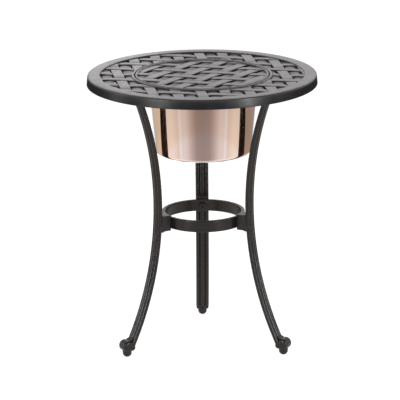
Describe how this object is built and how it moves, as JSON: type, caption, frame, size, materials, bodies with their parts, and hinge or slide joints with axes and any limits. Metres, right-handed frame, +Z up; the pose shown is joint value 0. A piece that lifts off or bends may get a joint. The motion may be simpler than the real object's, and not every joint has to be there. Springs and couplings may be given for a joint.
{
  "type": "bistro table with ice bucket",
  "caption": "Round cast patio table with a basket-weave top, a lift-off lid over a copper ice bucket, and bowed reeded legs braced by a ring.",
  "frame": {"origin": "on the floor, on the axis of the round top", "axes": "+Z up, out of the top; +Y from the axis towards the rear leg"},
  "size_m": [0.5243, 0.5244, 0.638],
  "materials": {
    "cast_top": "satin charcoal powder coat on cast aluminium",
    "cast_lid": "satin charcoal powder coat on cast aluminium",
    "copper": "mirror copper plate on spun steel",
    "cast_dark": "satin charcoal powder coat, lightly textured, on cast aluminium",
    "glide": "black nylon",
    "cast_brace": "satin charcoal powder coat, lightly textured, on cast aluminium",
    "fastener": "blackened steel"
  },
  "bodies": {
    "table": {"table_top": "cast_top", "leg_rear": "cast_dark", "leg_left": "cast_dark", "leg_right": "cast_dark", "glide_rear": "glide", "glide_left": "glide", "glide_right": "glide", "brace_ring": "cast_brace", "brace_block_rear": "cast_brace", "brace_block_left": "cast_brace", "brace_block_right": "cast_brace", "brace_screws": "fastener", "brace_washers": "fastener", "leg_bolts": "fastener", "leg_washers": "fastener"},
    "bucket": {"ice_bucket": "copper"},
    "lid": {"lid": "cast_lid"}
  },
  "joints": [
    {"name": "bucket_lift", "type": "slide", "parent": "table", "child": "bucket", "axis": [0, 0, 1], "range_m": [0, 0.2]},
    {"name": "lid_lift", "type": "slide", "parent": "bucket", "child": "lid", "axis": [0, 0, 1], "range_m": [0, 0.1]}
  ]
}
